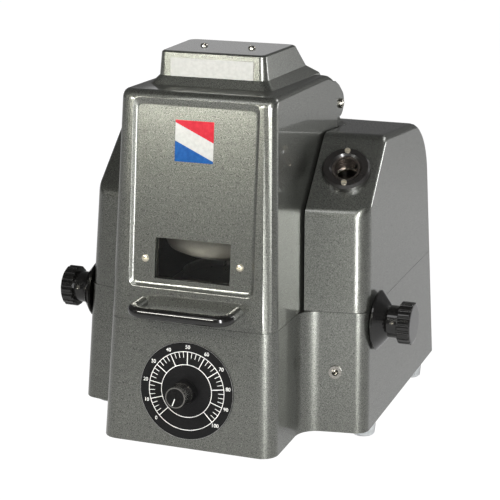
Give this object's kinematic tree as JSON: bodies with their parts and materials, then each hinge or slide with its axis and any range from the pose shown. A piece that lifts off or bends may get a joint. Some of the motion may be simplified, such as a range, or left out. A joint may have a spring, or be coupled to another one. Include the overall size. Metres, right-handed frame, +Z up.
{
  "type": "moisture analyzer",
  "caption": "Infrared torsion balance moisture analyzer with a tilting lamp hood over a sample pan, a scale drum read through an eyepiece, a regulator dial and side knobs.",
  "frame": {"origin": "on the bench at the bottom of the feet, under the middle of the bounding box", "axes": "+Z up, -Y towards the user, with the dial, the window and the handle, and +X to the user's right, with the eyepiece and the scale knob"},
  "size_m": [0.374, 0.399, 0.3834],
  "materials": {
    "grey_paint": "glossy hammertone",
    "black_gloss": "glossy",
    "black_plate": "satin black",
    "nickel": "bright nickel",
    "brass": "turned",
    "steel": "zinc plated",
    "aluminium": "plain sheet",
    "drum_white": "white enamel",
    "eyepiece_black": "semi-gloss black",
    "eyepiece_bronze": "dark bronze",
    "optical_glass": "clear",
    "frosted_glass": "frosted reflector lamp",
    "ceramic": "glazed ceramic",
    "foot_white": "pale translucent"
  },
  "bodies": {
    "base": {"base_housing": "grey_paint", "bottom_plate": "steel", "bottom_screws": "steel", "feet": "foot_white", "foot_screws": "steel", "rear_cover": "grey_paint", "chamber_floor": "aluminium", "floor_screws": "steel", "dial_plate": "black_plate", "regulator": "steel", "regulator_nut": "nickel", "check_socket": "nickel", "eyepiece_ring": "eyepiece_black", "eyepiece_screws": "nickel", "eyepiece_tube": "eyepiece_bronze", "eyepiece_lens": "optical_glass", "shaft_bushes": "brass", "drum_bracket": "steel", "zero_bracket": "steel", "bracket_screws": "steel", "beam_stop": "steel", "terminal_block": "ceramic", "mains_inlet": "black_gloss", "fuse_holder": "black_gloss", "hinge_screws": "nickel"},
    "hood": {"hood_shell": "grey_paint", "window_glass": "optical_glass", "window_frame": "steel", "window_screws": "brass", "bow_handle": "black_gloss", "handle_screws": "steel", "lamp_holder": "ceramic", "cap_screws": "nickel", "lamp_base": "brass", "lamp_bulb": "frosted_glass"},
    "regulator_dial": {"regulator_shaft": "steel", "regulator_knob": "black_gloss", "knob_barrel": "nickel", "regulator_set_screw": "nickel"},
    "scale_control": {"scale_knob": "black_gloss", "scale_shaft": "steel", "scale_pinion": "brass", "scale_set_screw": "nickel"},
    "scale_reel": {"scale_drum": "drum_white", "drum_gear": "brass", "drum_shaft": "steel"},
    "zero_control": {"zero_knob": "black_gloss", "zero_shaft": "steel", "zero_pinion": "brass", "zero_set_screw": "nickel"},
    "zero_anchor": {"zero_gear": "brass", "anchor_shaft": "steel"},
    "balance": {"beam": "aluminium", "pan_support": "aluminium", "counterweight": "brass", "torsion_wire": "steel"},
    "pan": {"sample_pan": "aluminium"}
  },
  "joints": [
    {"name": "hood_hinge", "type": "hinge", "parent": "base", "child": "hood", "pos_m": [0, 0.06093, 0.312], "axis": [-1, 0, 0], "range_deg": [0, 125]},
    {"name": "regulator_turn", "type": "hinge", "parent": "base", "child": "regulator_dial", "pos_m": [0, -0.16942, 0.0695], "axis": [0, 0.995, -0.0995], "range_deg": [0, 296]},
    {"name": "scale_drum_turn", "type": "hinge", "parent": "base", "child": "scale_reel", "pos_m": [0, 0.06121, 0.16569], "axis": [1, 0, 0], "range_deg": [0, 300]},
    {"name": "scale_knob_turn", "type": "hinge", "parent": "base", "child": "scale_control", "pos_m": [0, -0.04007, 0.1185], "axis": [1, 0, 0], "range_deg": [-1200, 0]},
    {"name": "zero_anchor_turn", "type": "hinge", "parent": "base", "child": "zero_anchor", "pos_m": [0, 0.06121, 0.16569], "axis": [1, 0, 0], "range_deg": [-20, 20]},
    {"name": "zero_knob_turn", "type": "hinge", "parent": "base", "child": "zero_control", "pos_m": [0, -0.04007, 0.1185], "axis": [1, 0, 0], "range_deg": [-80, 80]},
    {"name": "beam_swing", "type": "hinge", "parent": "base", "child": "balance", "pos_m": [0, 0.06121, 0.16569], "axis": [1, 0, 0], "range_deg": [-2.5, 2.5], "stiffness_Nm_per_rad": 0.6},
    {"name": "pan_lift", "type": "slide", "parent": "balance", "child": "pan", "axis": [0, 0, 1], "range_m": [0, 0.012]}
  ],
  "couplings": [
    {"joint": "scale_knob_turn", "follows": "scale_drum_turn", "ratio": -4},
    {"joint": "zero_knob_turn", "follows": "zero_anchor_turn", "ratio": -4}
  ]
}
